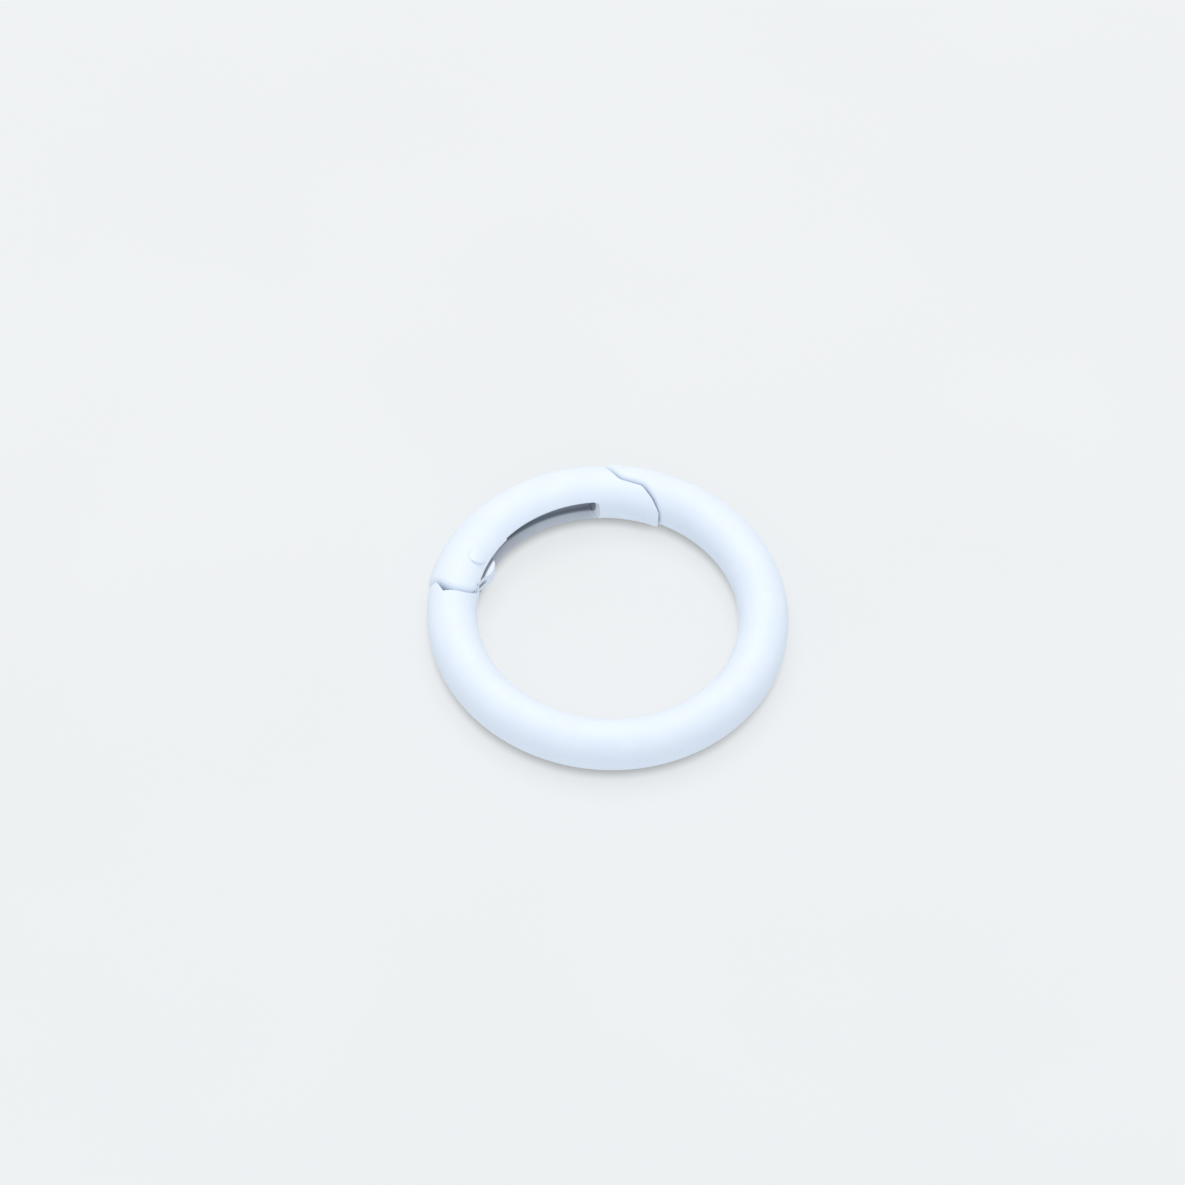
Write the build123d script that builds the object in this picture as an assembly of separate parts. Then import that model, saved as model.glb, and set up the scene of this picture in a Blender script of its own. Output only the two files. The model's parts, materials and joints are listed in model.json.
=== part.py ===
from build123d import *
import math
import os

# Spring-gate ring: a C-shaped body of round section, closed by a gate that swings inward on a rivet.
# Origin: centre of the ring, on its mid-plane. +Z is the ring's axis. Millimetres throughout.
# The gate fills the arc between the heel seam, near -X, and the latch seam, near +Y.

# Ring section
INSIDE_DIAMETER = 25.0
SECTION_RADIUS = 2.4
RING_RADIUS = INSIDE_DIAMETER / 2 + SECTION_RADIUS

# Gate section: an oval a little wider than the body's round, on an arc whose centre is set back slightly
GATE_HALF_WIDTH = 2.60
GATE_HALF_HEIGHT = 2.36
GATE_ARC_CENTRE_Y = -0.28

# Hinge
PIN_X = -12.86
PIN_Y = 4.47
SHANK_RADIUS = 0.745
SHANK_CLEARANCE = 0.045
RIVET_END_RADIUS = 0.80
RIVET_END_START = 1.15
RIVET_END_HEIGHT = 2.34
RIVET_END_RISE = 0.30
RIVET_END_TILT = (-9.0, -5.0, 0.0)
RIVET_RIM = 0.08
KNUCKLE_RADIUS = 1.76
KNUCKLE_GAP = 0.20
TENON_HALF_THICKNESS = 0.845
TENON_OUTER_X = -14.62
TENON_ROOT_Y = -1.0
TENON_WAIST_ANGLE = -62.0
TENON_INNER_SIDE = [(-12.48, 2.30), (-12.75, 1.40), (-12.90, TENON_ROOT_Y)]
KNUCKLE_EDGE = 0.12
KNUCKLE_EDGE_START_Y = 1.6

# Cam on the knuckle: its radius grows as the gate opens, and pushes the plunger back
CAM_DIRECTION = 67.0
CAM_LOW_RADIUS = 1.22
CAM_RISE_PER_RADIAN = 0.8
CAM_BACK_ANGLE = 30.0
CAM_STEPS = 5

# Latch seam: the gate's edge, from outside the ring to inside it, and the gap to the body's lip
LATCH_EDGE = [(-3.01, 18.05), (0.30, 14.55), (2.54, 13.95), (3.55, 12.74), (4.75, 10.95)]
NOSE_INNER_END = (2.80, 11.75)
NOSE_START_Y = 13.0
LATCH_BEND = 1.0
LATCH_GAP = 0.23
NOSE_CORNER = 0.28
LIP_ROUNDING = 0.50
NOSE_EDGE = 0.08

# Heel seam
SHOULDER_Y = 0.10
SHOULDER_HORN_FOOT_X = -15.82
SHOULDER_HORN_TIP = (-16.52, 1.38)
SHOULDER_INNER_SIDE = [(-12.43, 1.60), (-12.25, 1.95)]
SHOULDER_CORNER_X = -12.72
SHOULDER_CORNER_RADIUS = 1.75
HEEL_Y = 0.32
HEEL_CORNER_X = -12.90
HEEL_CORNER_RADIUS = 1.55
HEEL_INNER_SIDE = [(-12.59, 1.92), (-11.40, 2.20)]
HEEL_SWING_RADIUS = 4.57
HEEL_BROW_Y = 1.58
HEEL_BROW_CORNER = 0.50
HEEL_ROUNDING = 0.75
HEEL_EDGE_START_Z = 0.5
HALVES_MEET = (-9.00, 6.0)
LATCH_HALF_START_Y = 3.5

# Slot in the gate's inner face
SLOT_HALF_WIDTH = 1.30
SLOT_FLOOR_RADIUS = 14.15
SLOT_WALL_DIRECTION = 121.0
SLOT_END = (-1.50, 12.20)
SLOT_CORNER = 0.45
HINGE_END_HALF_WIDTH = 1.17
HINGE_END_LIMIT = (-10.22, 7.45)
POCKET_LENGTH = 7.95
POCKET_HALF_WIDTH = 0.80
POCKET_HALF_HEIGHT = 0.80
POCKET_OPEN_SIDE = 4.0
CHANNEL_START_Y = PIN_Y
ROOM_WIDTH = 8.0
ROOM_DEPTH = 6.0

# Spring and plunger, on a straight axis that starts at the pin's centre
PLUNGER_TIP = 1.36
PLUNGER_SHOULDER = 3.10
PLUNGER_RADIUS = 0.68
PLUNGER_NOSE_RADIUS = 0.45
STEM_RADIUS = 0.36
STEM_END = 5.60
SPRING_WIRE_RADIUS = 0.13
SPRING_OUTER_RADIUS = 0.70
SPRING_TURNS = 9.0
SPRING_END_GAP = 0.03

SEAM_DIVIDE_Y = 8.0
FAR = 25.0
TALL = 4.0
TOLERANCE = 0.01


def plate(plan, half_height):
    return extrude(plan, half_height, both=True)


def polygon(points):
    return make_face(Polyline(*points, close=True))


def rounded_corner(plan, corner, radius):
    nearest = plan.vertices().sort_by_distance(Vector(*corner))[0]
    return fillet(nearest, radius)


def from_pin(radius, degrees):
    angle = math.radians(degrees)
    return (PIN_X + radius * math.cos(angle), PIN_Y + radius * math.sin(angle))


def beside_line(point, degrees, width):
    # A strip of plane on the left of the line through the point, in the line's direction
    strip = Pos(0, width / 2) * Rectangle(4 * FAR, width)
    return Pos(*point) * Rot(0, 0, degrees) * strip


def gate_blank():
    section = Plane.XZ * Pos(RING_RADIUS, 0) * Ellipse(GATE_HALF_WIDTH, GATE_HALF_HEIGHT)
    return Pos(0, GATE_ARC_CENTRE_Y) * revolve(section, Axis.Z)


at_pin = Pos(PIN_X, PIN_Y)
along_spring = at_pin * Rot(0, 0, CAM_DIRECTION)

# Plan of the gate's latch half, up to the latch seam
latch_far_side = [(0, LATCH_HALF_START_Y), (-FAR, LATCH_HALF_START_Y), (-FAR, FAR), (LATCH_EDGE[0][0], FAR)]
latch_plan = polygon(LATCH_EDGE + [NOSE_INNER_END] + latch_far_side)
latch_plan = rounded_corner(latch_plan, LATCH_EDGE[1], LATCH_BEND)
latch_plan = rounded_corner(latch_plan, LATCH_EDGE[2], LATCH_BEND)
latch_plan = rounded_corner(latch_plan, LATCH_EDGE[3], LATCH_BEND)
latch_plan = rounded_corner(latch_plan, LATCH_EDGE[4], NOSE_CORNER)

# Plan of the gate's heel: a flat end with a rounded inner corner, and an outer corner that swings clear
heel_corner = (HEEL_CORNER_X, HEEL_Y)
heel_far_side = [HALVES_MEET, (-FAR, HALVES_MEET[1]), (-FAR, HEEL_Y)]
heel_plan = polygon([heel_corner] + HEEL_INNER_SIDE + heel_far_side)
heel_plan = rounded_corner(heel_plan, heel_corner, HEEL_CORNER_RADIUS)
above_brow = Pos(PIN_X - FAR / 2 - KNUCKLE_RADIUS, HEEL_BROW_Y + FAR / 2) * Rectangle(FAR, FAR)
above_pin = Pos(0, PIN_Y + FAR / 2) * Rectangle(3 * FAR, FAR)
swing_limit = at_pin * Circle(HEEL_SWING_RADIUS) + above_pin + above_brow
brow_corner = (PIN_X - math.sqrt(HEEL_SWING_RADIUS**2 - (PIN_Y - HEEL_BROW_Y) ** 2), HEEL_BROW_Y)
gate_plan = rounded_corner((latch_plan + heel_plan) & swing_limit, brow_corner, HEEL_BROW_CORNER)

# Plan of the space the body leaves for the gate
horn = [(-FAR, SHOULDER_HORN_TIP[1]), SHOULDER_HORN_TIP, (SHOULDER_HORN_FOOT_X, SHOULDER_Y)]
shoulder_corner = (SHOULDER_CORNER_X, SHOULDER_Y)
shoulder_far_side = [HALVES_MEET, (-FAR, HALVES_MEET[1])]
shoulder_plan = polygon(horn + [shoulder_corner] + SHOULDER_INNER_SIDE + shoulder_far_side)
shoulder_plan = rounded_corner(shoulder_plan, shoulder_corner, SHOULDER_CORNER_RADIUS)
opening_plan = offset(latch_plan, LATCH_GAP) + shoulder_plan

# Ring body: the round section, cut at the two seams, with the latch lip rounded
ring_section = Plane.XZ * Pos(RING_RADIUS, 0) * Circle(SECTION_RADIUS)
ring_body = revolve(ring_section, Axis.Z) - plate(opening_plan, TALL)
seam_edges = ring_body.edges().filter_by(GeomType.BSPLINE)
lip_edges = seam_edges.filter_by(lambda e: e.center().Y > SEAM_DIVIDE_Y)
ring_body = fillet(lip_edges, LIP_ROUNDING)

# Cam: a spiral from the round of the knuckle down to its low point, then a short dwell
cam_turn = math.degrees((KNUCKLE_RADIUS - CAM_LOW_RADIUS) / CAM_RISE_PER_RADIAN)
cam_points = []
for step in range(CAM_STEPS + 1):
    share = step / CAM_STEPS
    cam_radius = KNUCKLE_RADIUS + share * (CAM_LOW_RADIUS - KNUCKLE_RADIUS)
    cam_points.append(from_pin(cam_radius, CAM_DIRECTION - cam_turn + share * cam_turn))
cam_rise = Spline(*cam_points)
cam_dwell_end = CAM_DIRECTION + CAM_BACK_ANGLE
cam_dwell = ThreePointArc(
    cam_points[-1],
    from_pin(CAM_LOW_RADIUS, CAM_DIRECTION + CAM_BACK_ANGLE / 2),
    from_pin(CAM_LOW_RADIUS, cam_dwell_end),
)
cam_outside = Polyline(
    from_pin(CAM_LOW_RADIUS, cam_dwell_end),
    from_pin(2 * KNUCKLE_RADIUS, cam_dwell_end),
    from_pin(3 * KNUCKLE_RADIUS, CAM_DIRECTION),
    from_pin(2 * KNUCKLE_RADIUS, CAM_DIRECTION - cam_turn),
    cam_points[0],
)
cam_space = make_face(cam_rise + cam_dwell + cam_outside)

# Tenon: a plate rooted in the shoulder that ends in the knuckle
tenon_outer_side = [(TENON_OUTER_X, TENON_ROOT_Y), (TENON_OUTER_X, PIN_Y), (PIN_X, PIN_Y)]
tenon_waist = from_pin(KNUCKLE_RADIUS, TENON_WAIST_ANGLE)
tenon_plan = polygon(tenon_outer_side + [tenon_waist] + TENON_INNER_SIDE)
tenon_plan = tenon_plan + at_pin * Circle(KNUCKLE_RADIUS) - cam_space
tenon = plate(tenon_plan, TENON_HALF_THICKNESS)
tenon_rim = tenon.edges().filter_by(lambda e: abs(e.center().Z) > TENON_HALF_THICKNESS - TOLERANCE)
tenon = fillet(tenon_rim.filter_by(lambda e: e.center().Y > KNUCKLE_EDGE_START_Y), KNUCKLE_EDGE)
ring_body = ring_body + tenon - at_pin * Cylinder(SHANK_RADIUS + SHANK_CLEARANCE, 2 * TALL)

# Gate: the oval section, cut at the two seams, with its heel rounded and its nose edge just broken
gate = gate_blank() & plate(gate_plan, TALL)
seam_edges = gate.edges().filter_by(GeomType.BSPLINE)
heel_edges = seam_edges.filter_by(lambda e: e.center().Y < SEAM_DIVIDE_Y)
heel_edges = heel_edges.filter_by(lambda e: abs(e.center().Z) > HEEL_EDGE_START_Z)
gate = fillet(heel_edges, HEEL_ROUNDING)
seam_edges = gate.edges().filter_by(GeomType.BSPLINE)
nose_edges = seam_edges.filter_by(lambda e: e.center().Y > NOSE_START_Y)
gate = fillet(nose_edges, NOSE_EDGE)

# Slot: a shallow channel, narrower at its hinge end, a pocket for the spring, and room for the knuckle
channel_side = Pos(0, CHANNEL_START_Y + FAR / 2) * Rectangle(2 * FAR, FAR)
channel_plan = Pos(0, GATE_ARC_CENTRE_Y) * Circle(SLOT_FLOOR_RADIUS) & channel_side
channel_plan = channel_plan & beside_line(SLOT_END, SLOT_WALL_DIRECTION, FAR)
wide_plan = channel_plan & beside_line(HINGE_END_LIMIT, SLOT_WALL_DIRECTION + 180, FAR)
channel = plate(wide_plan, SLOT_HALF_WIDTH)
channel_rim = channel.edges().filter_by(lambda e: abs(e.center().Z) > SLOT_HALF_WIDTH / 2)
end_edges = channel_rim.filter_by(GeomType.LINE).filter_by(lambda e: e.center().X > 2 * SLOT_END[0])
channel = fillet(end_edges, SLOT_CORNER)
pocket_width = POCKET_HALF_WIDTH + POCKET_OPEN_SIDE
pocket_centre = (POCKET_LENGTH / 2, POCKET_HALF_WIDTH - pocket_width / 2)
pocket_plan = Pos(*pocket_centre) * Rectangle(POCKET_LENGTH, pocket_width)
pocket = plate(along_spring * pocket_plan, POCKET_HALF_HEIGHT)
room_left = PIN_X - KNUCKLE_RADIUS - KNUCKLE_GAP
room_plan = Pos(room_left + ROOM_WIDTH / 2, PIN_Y - ROOM_DEPTH / 2) * Rectangle(ROOM_WIDTH, ROOM_DEPTH)
room_plan = room_plan + at_pin * Circle(KNUCKLE_RADIUS + KNUCKLE_GAP)
hinge_end = plate(channel_plan + room_plan, HINGE_END_HALF_WIDTH)
gate = gate - channel - pocket - hinge_end - at_pin * Cylinder(RIVET_END_RADIUS, 2 * TALL)

# Hinge pin: a rivet spread to fill the cheeks, its ends dressed almost flush and standing proud on one side
end_shape = Pos(PIN_X, PIN_Y, RIVET_END_RISE) * Rot(*RIVET_END_TILT) * Pos(-PIN_X, -PIN_Y) * gate_blank()
end_height = RIVET_END_HEIGHT - RIVET_END_START
end_blank = at_pin * Pos(0, 0, RIVET_END_START + end_height / 2) * Cylinder(RIVET_END_RADIUS, end_height)
rivet_end = end_blank & end_shape
end_rim = rivet_end.edges().filter_by(lambda e: e.center().Z > RIVET_END_START + RIVET_RIM)
rivet_end = fillet(end_rim, RIVET_RIM)
shank = at_pin * Cylinder(SHANK_RADIUS, 2 * RIVET_END_START)
hinge_pin = shank + rivet_end + mirror(rivet_end, about=Plane.XY)

# Plunger: a rounded cone nose on a round body, then a thin stem inside the spring
cone_start = PLUNGER_TIP + PLUNGER_NOSE_RADIUS * (1 - math.sqrt(0.5))
cone_start_radius = PLUNGER_NOSE_RADIUS * math.sqrt(0.5)
cone_end = cone_start + PLUNGER_RADIUS - cone_start_radius
nose_middle = PLUNGER_NOSE_RADIUS * math.sin(math.pi / 8)
nose_middle_x = PLUNGER_TIP + PLUNGER_NOSE_RADIUS * (1 - math.cos(math.pi / 8))
nose_arc = ThreePointArc((PLUNGER_TIP, 0), (nose_middle_x, nose_middle), (cone_start, cone_start_radius))
plunger_side = Polyline(
    (cone_start, cone_start_radius),
    (cone_end, PLUNGER_RADIUS),
    (PLUNGER_SHOULDER, PLUNGER_RADIUS),
    (PLUNGER_SHOULDER, STEM_RADIUS),
    (STEM_END, STEM_RADIUS),
    (STEM_END, 0),
    (PLUNGER_TIP, 0),
)
spring_plunger = along_spring * revolve(make_face(nose_arc + plunger_side), Axis.X)

# Gate spring: a straight coil between the plunger's shoulder and the pocket's end wall
coil_radius = SPRING_OUTER_RADIUS - SPRING_WIRE_RADIUS
coil_start = PLUNGER_SHOULDER + SPRING_END_GAP + SPRING_WIRE_RADIUS
coil_length = POCKET_LENGTH - SPRING_END_GAP - SPRING_WIRE_RADIUS - coil_start
coil = Helix(pitch=coil_length / SPRING_TURNS, height=coil_length, radius=coil_radius)
wire_plane = Plane(origin=coil @ 0, z_dir=coil % 0)
gate_spring = sweep(wire_plane * Circle(SPRING_WIRE_RADIUS), path=coil, is_frenet=True)
gate_spring = along_spring * Pos(coil_start, 0, 0) * Rot(0, 90, 0) * gate_spring

os.makedirs("parts", exist_ok=True)
export_step(ring_body, "parts/ring_body.step")
export_step(gate, "parts/gate.step")
export_step(hinge_pin, "parts/hinge_pin.step")
export_step(spring_plunger, "parts/spring_plunger.step")
export_step(gate_spring, "parts/gate_spring.step")
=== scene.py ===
import json
import math

import bpy
from mathutils import Matrix, Vector


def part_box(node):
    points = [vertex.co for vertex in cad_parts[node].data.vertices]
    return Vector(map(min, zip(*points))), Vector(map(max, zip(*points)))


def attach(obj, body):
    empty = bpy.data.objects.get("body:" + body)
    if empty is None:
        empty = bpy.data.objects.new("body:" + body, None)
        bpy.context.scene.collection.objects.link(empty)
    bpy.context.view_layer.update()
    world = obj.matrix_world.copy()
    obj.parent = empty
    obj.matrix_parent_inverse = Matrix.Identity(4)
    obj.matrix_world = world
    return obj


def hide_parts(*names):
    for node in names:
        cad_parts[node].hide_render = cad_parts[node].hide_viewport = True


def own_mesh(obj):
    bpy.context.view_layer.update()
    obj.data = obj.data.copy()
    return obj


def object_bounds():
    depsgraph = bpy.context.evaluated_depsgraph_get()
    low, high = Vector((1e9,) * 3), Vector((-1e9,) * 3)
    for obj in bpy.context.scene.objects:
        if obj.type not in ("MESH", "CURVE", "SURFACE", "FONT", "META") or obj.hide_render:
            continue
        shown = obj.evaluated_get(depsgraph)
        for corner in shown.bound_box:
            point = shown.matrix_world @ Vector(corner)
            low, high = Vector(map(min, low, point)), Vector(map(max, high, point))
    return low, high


MM = 0.001

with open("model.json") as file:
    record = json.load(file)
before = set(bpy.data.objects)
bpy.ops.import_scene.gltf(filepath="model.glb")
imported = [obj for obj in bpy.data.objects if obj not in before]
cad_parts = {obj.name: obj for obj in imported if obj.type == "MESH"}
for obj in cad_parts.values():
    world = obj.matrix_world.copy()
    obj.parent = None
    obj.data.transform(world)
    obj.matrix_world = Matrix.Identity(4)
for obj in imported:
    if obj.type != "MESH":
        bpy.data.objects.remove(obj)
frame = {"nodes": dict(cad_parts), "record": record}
cad_low, cad_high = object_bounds()

# The ring's mean radius, its box being as wide as the ring and as high as the section
body_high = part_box("ring_body")[1]
RING_RADIUS = body_high.x - body_high.z

# The gate's oval section, and how far into its slot the paint reaches, measured from the section's centre
GATE_ARC_CENTRE_Y = -0.28 * MM
GATE_HALF_WIDTH = 2.60 * MM
GATE_HALF_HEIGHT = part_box("gate")[1].z
SLOT_HALF_WIDTH = 1.30 * MM
HINGE_END_HALF_WIDTH = 1.17 * MM
SLOT_STEP_Y = 6.5 * MM
SLOT_STEP_LENGTH = 0.3 * MM
SLOT_OUTER_X = -14.82 * MM
SLOT_OUTER_FADE = (0.06 * MM, 0.03 * MM)
SLOT_SIDE_FADE = (0.05 * MM, 0.03 * MM)
SLOT_OVAL_FADE = (0.990, 0.975)
SLOT_PAINT_END = 1.90 * MM
SLOT_PAINT_FADE = 0.25 * MM

# Painted shade on the body, in bare-zinc colour: on the tenon's flat sides under the gate's cheeks, and in
# the gap at its root
joints = {joint["name"]: joint for joint in frame["record"]["behaviour"]["joints"]}
PIN_X, PIN_Y, _ = joints["gate_hinge"]["pos_m"]
HINGE_SIDE_X = -11.2 * MM
HINGE_SIDE_FADE = 0.05 * MM
CHEEK_SHADE_RADIUS = 2.75 * MM
CHEEK_SHADE_FADE = 0.3 * MM
CHEEK_LIP_RADIUS = 12.46 * MM
CHEEK_LIP_FADE = 0.08 * MM
TENON_HALF_THICKNESS = 0.845 * MM
OVER_TENON_FADE = (0.03 * MM, 0.01 * MM)
INSIDE_TENON_FADE = (0.06 * MM, 0.02 * MM)
ROOT_RADIUS = 12.70 * MM
ROOT_RADIUS_FADE = 0.06 * MM
ROOT_HALF_HEIGHT = 0.40 * MM
ROOT_HEIGHT_FADE = 0.20 * MM
ROOT_LOW_Y = 2.0 * MM
ROOT_LOW_FADE = 0.3 * MM
ROOT_HIGH_Y = 3.2 * MM
ROOT_HIGH_FADE = 0.4 * MM

PAINT_LIGHT = (0.80, 0.88, 0.97, 1.0)
PAINT_SHADE = (0.78, 0.865, 0.96, 1.0)
# Painted light: the paint inside the gate's slot is lighter than elsewhere, standing in for light the slot's
# cheeks shade off
SLOT_PAINTED_LIGHT = (0.90, 0.945, 1.0, 1.0)
# Bare zinc deep in the gate's slot; the same colour is also painted shade on the body's tenon
BARE_ZINC_AND_PAINTED_SHADE = (0.28, 0.31, 0.35, 1.0)
PLUNGER_LIGHT = (0.34, 0.35, 0.37, 1.0)
PLUNGER_DARK = (0.25, 0.26, 0.28, 1.0)
STEEL_LIGHT = (0.22, 0.22, 0.24, 1.0)
STEEL_DARK = (0.15, 0.15, 0.17, 1.0)

PAINT_ROUGHNESS = (0.44, 0.54)
PAINT_SPECULAR = 0.25
METAL_ROUGHNESS = (0.35, 0.5)

CLOUD_SIZE = 3.0 * MM
GLOSS_PATCH_SIZE = 0.8 * MM
PEEL_SIZE = 0.35 * MM
PEEL_DEPTH = 0.004 * MM
STREAK_SIZE = 0.25 * MM
GRAIN_SIZE = 0.1 * MM
GRAIN_DEPTH = 0.003 * MM


class Graph:
    """A material's node tree, with short calls for the nodes used here."""

    def __init__(self, name):
        self.material = bpy.data.materials.new(name)
        self.material.use_nodes = True
        self.nodes = self.material.node_tree.nodes
        self.links = self.material.node_tree.links
        self.shader = self.nodes["Principled BSDF"]
        self.position = self.nodes.new("ShaderNodeTexCoord").outputs["Object"]

    def put(self, value, socket):
        if isinstance(value, bpy.types.NodeSocket):
            self.links.new(value, socket)
        else:
            socket.default_value = value

    def math(self, operation, a, b=0.0):
        node = self.nodes.new("ShaderNodeMath")
        node.operation = operation
        self.put(a, node.inputs[0])
        self.put(b, node.inputs[1])
        return node.outputs[0]

    def product(self, first, *others):
        for factor in others:
            first = self.math("MULTIPLY", first, factor)
        return first

    def distance(self, a, b):
        return self.math("SQRT", self.math("ADD", self.math("MULTIPLY", a, a), self.math("MULTIPLY", b, b)))

    def split(self):
        node = self.nodes.new("ShaderNodeSeparateXYZ")
        self.links.new(self.position, node.inputs[0])
        return node.outputs[0], node.outputs[1], node.outputs[2]

    def smooth_step(self, value, start, end, low=0.0, high=1.0):
        node = self.nodes.new("ShaderNodeMapRange")
        node.interpolation_type = "SMOOTHSTEP"
        self.put(value, node.inputs["Value"])
        node.inputs["From Min"].default_value = start
        node.inputs["From Max"].default_value = end
        node.inputs["To Min"].default_value = low
        node.inputs["To Max"].default_value = high
        return node.outputs["Result"]

    def noise(self, size, detail=2.0):
        node = self.nodes.new("ShaderNodeTexNoise")
        self.links.new(self.position, node.inputs["Vector"])
        node.inputs["Scale"].default_value = 1 / size
        node.inputs["Detail"].default_value = detail
        return node.outputs["Fac"]

    def mix(self, share, a, b):
        node = self.nodes.new("ShaderNodeMix")
        node.data_type = "RGBA"
        self.put(share, node.inputs["Factor"])
        self.put(a, node.inputs["A"])
        self.put(b, node.inputs["B"])
        return node.outputs["Result"]

    def bump(self, height, distance, strength):
        node = self.nodes.new("ShaderNodeBump")
        node.inputs["Distance"].default_value = distance
        node.inputs["Strength"].default_value = strength
        self.links.new(height, node.inputs["Height"])
        self.links.new(node.outputs["Normal"], self.shader.inputs["Normal"])


def paint_base(graph):
    """Satin white paint: faint clouds in its colour and gloss, and a very fine orange peel."""
    clouds = graph.smooth_step(graph.noise(CLOUD_SIZE, 3.0), 0.35, 0.65)
    colour = graph.mix(clouds, PAINT_SHADE, PAINT_LIGHT)
    gloss = graph.smooth_step(graph.noise(GLOSS_PATCH_SIZE, 3.0), 0.3, 0.7, *PAINT_ROUGHNESS)
    graph.bump(graph.noise(PEEL_SIZE), PEEL_DEPTH, 0.35)
    graph.shader.inputs["Specular IOR Level"].default_value = PAINT_SPECULAR
    return colour, gloss


def white_paint(name):
    graph = Graph(name)
    colour, gloss = paint_base(graph)
    graph.put(colour, graph.shader.inputs["Base Color"])
    graph.put(gloss, graph.shader.inputs["Roughness"])
    return graph.material


def body_paint(name):
    """The same paint, with painted shade in bare-zinc colour on the tenon's flat sides under the gate's
    cheeks and in the gap at the tenon's root.
    """
    graph = Graph(name)
    colour, gloss = paint_base(graph)
    x, y, z = graph.split()
    from_axis = graph.distance(x, graph.math("SUBTRACT", y, GATE_ARC_CENTRE_Y))
    height = graph.math("ABSOLUTE", z)
    near_hinge = graph.smooth_step(x, HINGE_SIDE_X + HINGE_SIDE_FADE, HINGE_SIDE_X)
    over_tenon = graph.math("SUBTRACT", height, TENON_HALF_THICKNESS)
    inside_tenon = graph.math("SUBTRACT", TENON_HALF_THICKNESS, height)
    flat_side = graph.product(
        graph.smooth_step(over_tenon, *OVER_TENON_FADE),
        graph.smooth_step(inside_tenon, *INSIDE_TENON_FADE),
    )
    under_cheek = graph.smooth_step(from_axis, CHEEK_LIP_RADIUS - CHEEK_LIP_FADE, CHEEK_LIP_RADIUS)
    from_pin = graph.distance(graph.math("SUBTRACT", x, PIN_X), graph.math("SUBTRACT", y, PIN_Y))
    near_pin = graph.smooth_step(from_pin, CHEEK_SHADE_RADIUS, CHEEK_SHADE_RADIUS - CHEEK_SHADE_FADE)
    # Painted shade: the tenon's flat sides where the gate's cheek lips shade them
    shade_under_cheek = graph.product(flat_side, under_cheek, near_pin)
    # Painted shade: the gap at the tenon's root, under the knuckle
    shade_at_root = graph.product(
        graph.smooth_step(height, ROOT_HALF_HEIGHT, ROOT_HALF_HEIGHT - ROOT_HEIGHT_FADE),
        graph.smooth_step(from_axis, ROOT_RADIUS + ROOT_RADIUS_FADE, ROOT_RADIUS),
        graph.smooth_step(y, ROOT_LOW_Y, ROOT_LOW_Y + ROOT_LOW_FADE),
        graph.smooth_step(y, ROOT_HIGH_Y, ROOT_HIGH_Y - ROOT_HIGH_FADE),
    )
    dark_share = graph.math("MULTIPLY", graph.math("MAXIMUM", shade_under_cheek, shade_at_root), near_hinge)
    graph.put(graph.mix(dark_share, colour, BARE_ZINC_AND_PAINTED_SHADE), graph.shader.inputs["Base Color"])
    graph.put(gloss, graph.shader.inputs["Roughness"])
    return graph.material


def gate_paint(name):
    """The same paint, lightened inside the slot as painted light, and thinning out to bare dark zinc deep in
    it.
    """
    graph = Graph(name)
    colour, gloss = paint_base(graph)
    x, y, z = graph.split()
    from_axis = graph.distance(x, graph.math("SUBTRACT", y, GATE_ARC_CENTRE_Y))
    across = graph.math("SUBTRACT", from_axis, RING_RADIUS)
    oval = graph.distance(
        graph.math("DIVIDE", across, GATE_HALF_WIDTH),
        graph.math("DIVIDE", z, GATE_HALF_HEIGHT),
    )
    step_end_y = SLOT_STEP_Y + SLOT_STEP_LENGTH
    half_width = graph.smooth_step(y, SLOT_STEP_Y, step_end_y, HINGE_END_HALF_WIDTH, SLOT_HALF_WIDTH)
    over = graph.math("SUBTRACT", graph.math("ABSOLUTE", z), half_width)
    past_outside = graph.math("SUBTRACT", SLOT_OUTER_X, x)
    in_slot = graph.product(
        graph.smooth_step(over, *SLOT_SIDE_FADE),
        graph.smooth_step(past_outside, *SLOT_OUTER_FADE),
        graph.smooth_step(oval, *SLOT_OVAL_FADE),
    )
    deep = graph.smooth_step(graph.distance(across, z), SLOT_PAINT_END, SLOT_PAINT_END - SLOT_PAINT_FADE)
    dark_share = graph.math("MULTIPLY", deep, in_slot)
    # Painted light: the slot's paint is lightened where the cheeks shade it
    colour = graph.mix(in_slot, colour, SLOT_PAINTED_LIGHT)
    graph.put(graph.mix(dark_share, colour, BARE_ZINC_AND_PAINTED_SHADE), graph.shader.inputs["Base Color"])
    graph.put(gloss, graph.shader.inputs["Roughness"])
    return graph.material


def bare_metal(name, light, dark, metallic):
    """Bare metal with fine streaks in its colour and gloss, and a slight grain."""
    graph = Graph(name)
    streaks = graph.noise(STREAK_SIZE, 4.0)
    graph.put(graph.mix(streaks, dark, light), graph.shader.inputs["Base Color"])
    graph.put(graph.smooth_step(streaks, 0.3, 0.7, *METAL_ROUGHNESS), graph.shader.inputs["Roughness"])
    graph.shader.inputs["Metallic"].default_value = metallic
    graph.bump(graph.noise(GRAIN_SIZE), GRAIN_DEPTH, 0.4)
    return graph.material


def give(node, material):
    mesh = frame["nodes"][node].data
    mesh.materials.clear()
    mesh.materials.append(material)


give("ring_body", body_paint("white_paint_body"))
give("gate", gate_paint("white_paint_gate"))
give("hinge_pin", white_paint("painted_rivet"))
give("spring_plunger", bare_metal("bare_zinc", PLUNGER_LIGHT, PLUNGER_DARK, 0.9))


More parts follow.
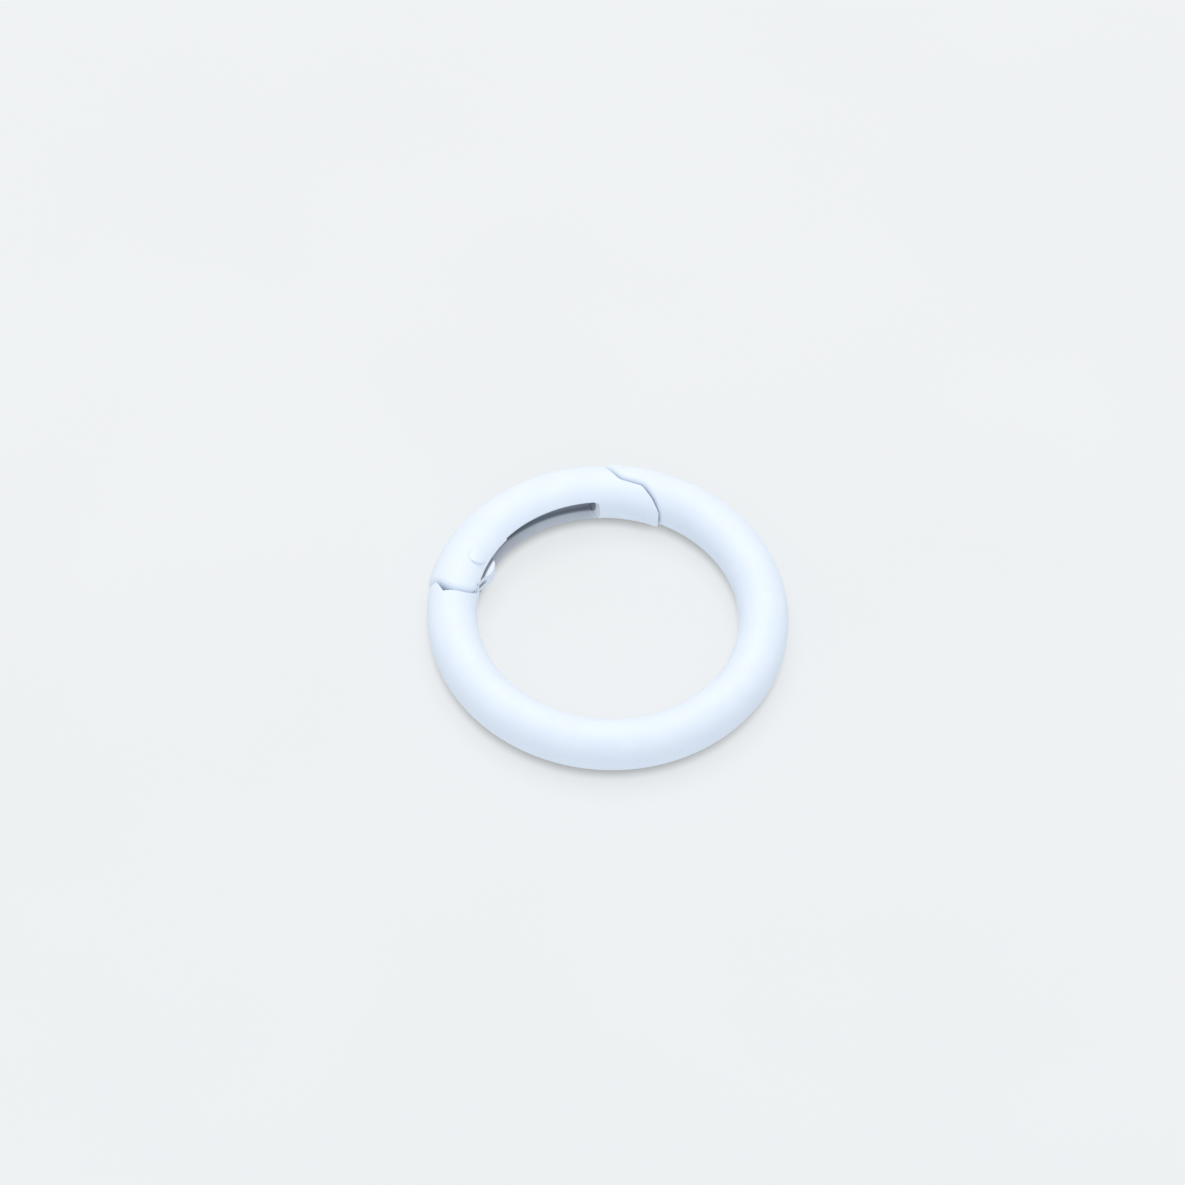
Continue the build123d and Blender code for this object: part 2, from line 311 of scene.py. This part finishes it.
def make_spring():
    """The coil again as a piece of its own, attached to the gate."""
    coil = frame["nodes"]["gate_spring"]
    spring = bpy.data.objects.new("coil_spring", coil.data.copy())
    bpy.context.collection.objects.link(spring)
    spring.matrix_world = coil.matrix_world.copy()
    spring.data.materials.clear()
    spring.data.materials.append(bare_metal("spring_steel", STEEL_LIGHT, STEEL_DARK, 1.0))
    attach(spring, "gate")
    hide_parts("gate_spring")
    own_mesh(spring)


make_spring()

# Floor
FLOOR_SIZE = 3.0
FLOOR_GRAIN_SIZE = 40 * MM
FLOOR_LIGHT = (0.26, 0.265, 0.267, 1.0)
FLOOR_SHADE = (0.25, 0.255, 0.257, 1.0)
GLOW_STRENGTH = 0.61
GLOW_COLOUR = (0.96, 0.99, 1.0, 1.0)
# Painted shadow: the colour of the contact shadow mixed into the floor's glow
CONTACT_SHADOW_COLOUR = (0.36, 0.35, 0.32, 1.0)
CONTACT_REACH = 1.2 * MM


def make_floor():
    """A light table: mostly its own even glow, with a painted contact shadow darkening the glow by ambient
    occlusion, so the ring leaves only a thin dark line where it touches.
    """
    graph = Graph("floor_light_table")
    grain = graph.smooth_step(graph.noise(FLOOR_GRAIN_SIZE), 0.3, 0.7)
    graph.put(graph.mix(grain, FLOOR_SHADE, FLOOR_LIGHT), graph.shader.inputs["Base Color"])
    # Painted contact shadow: ambient occlusion darkens the glow near the ring
    contact = graph.nodes.new("ShaderNodeAmbientOcclusion")
    contact.samples = 16
    contact.inputs["Distance"].default_value = CONTACT_REACH
    clear = graph.smooth_step(contact.outputs["AO"], 0.0, 0.9)
    graph.put(graph.mix(clear, CONTACT_SHADOW_COLOUR, GLOW_COLOUR), graph.shader.inputs["Emission Color"])
    graph.shader.inputs["Emission Strength"].default_value = GLOW_STRENGTH
    graph.shader.inputs["Roughness"].default_value = 0.9
    graph.shader.inputs["Specular IOR Level"].default_value = 0.0
    bpy.ops.mesh.primitive_plane_add(size=FLOOR_SIZE, location=(0, 0, cad_low.z))
    floor = bpy.context.object
    floor.name = "floor"
    floor.data.materials.append(graph.material)


make_floor()


# Light: a wide warm key from behind, a weak cool fill from the near side, and an even sky
KEY_PLACE = (-0.05, 0.25, 0.60)
KEY_SIZE = 0.6
KEY_WATTS = 2.1
KEY_COLOUR = (1.0, 0.92, 0.83)
FILL_PLACE = (0.0, -0.50, 0.42)
FILL_SIZE = 0.7
FILL_WATTS = 0.55
FILL_COLOUR = (0.90, 0.94, 1.0)
SKY_COLOUR = (0.90, 0.925, 1.0, 1.0)
SKY_STRENGTH = 0.73


def area_light(name, place, size, watts, colour):
    data = bpy.data.lights.new(name, "AREA")
    data.shape = "DISK"
    data.size = size
    data.energy = watts
    data.color = colour
    lamp = bpy.data.objects.new(name, data)
    lamp.location = place
    lamp.rotation_euler = (-Vector(place)).to_track_quat("-Z", "Y").to_euler()
    bpy.context.collection.objects.link(lamp)


area_light("key", KEY_PLACE, KEY_SIZE, KEY_WATTS, KEY_COLOUR)
area_light("fill", FILL_PLACE, FILL_SIZE, FILL_WATTS, FILL_COLOUR)

world = bpy.data.worlds.new("studio")
world.use_nodes = True
world.node_tree.nodes["Background"].inputs["Color"].default_value = SKY_COLOUR
world.node_tree.nodes["Background"].inputs["Strength"].default_value = SKY_STRENGTH
bpy.context.scene.world = world
bpy.context.scene.view_settings.view_transform = "Standard"

# Camera: a long lens above the near side, turned a little about its own axis
CAMERA_ELEVATION = math.radians(54.57)
CAMERA_ROLL = math.radians(-3.62)
CAMERA_DISTANCE = 573.2 * MM
RING_OFFSET = Vector((1.471, -2.176)) * MM
LENS_MM = 182.28
SENSOR_MM = 36.0


def make_camera():
    data = bpy.data.cameras.new("camera")
    data.lens = LENS_MM
    data.sensor_width = SENSOR_MM
    data.clip_start = 0.01
    data.clip_end = 10.0
    camera = bpy.data.objects.new("camera", data)
    turn = Matrix.Rotation(CAMERA_ROLL, 3, "Z")
    ring_x = turn @ Vector((1, 0, 0))
    ring_z = turn @ Vector((0, math.cos(CAMERA_ELEVATION), math.sin(CAMERA_ELEVATION)))
    ring_y = ring_z.cross(ring_x)
    to_frame = Matrix((ring_x, ring_y, ring_z))
    ring_centre = Vector((RING_OFFSET.x, RING_OFFSET.y, -CAMERA_DISTANCE))
    camera.matrix_world = Matrix.Translation(to_frame @ -ring_centre) @ to_frame.to_4x4()
    bpy.context.collection.objects.link(camera)
    bpy.context.scene.camera = camera


make_camera()
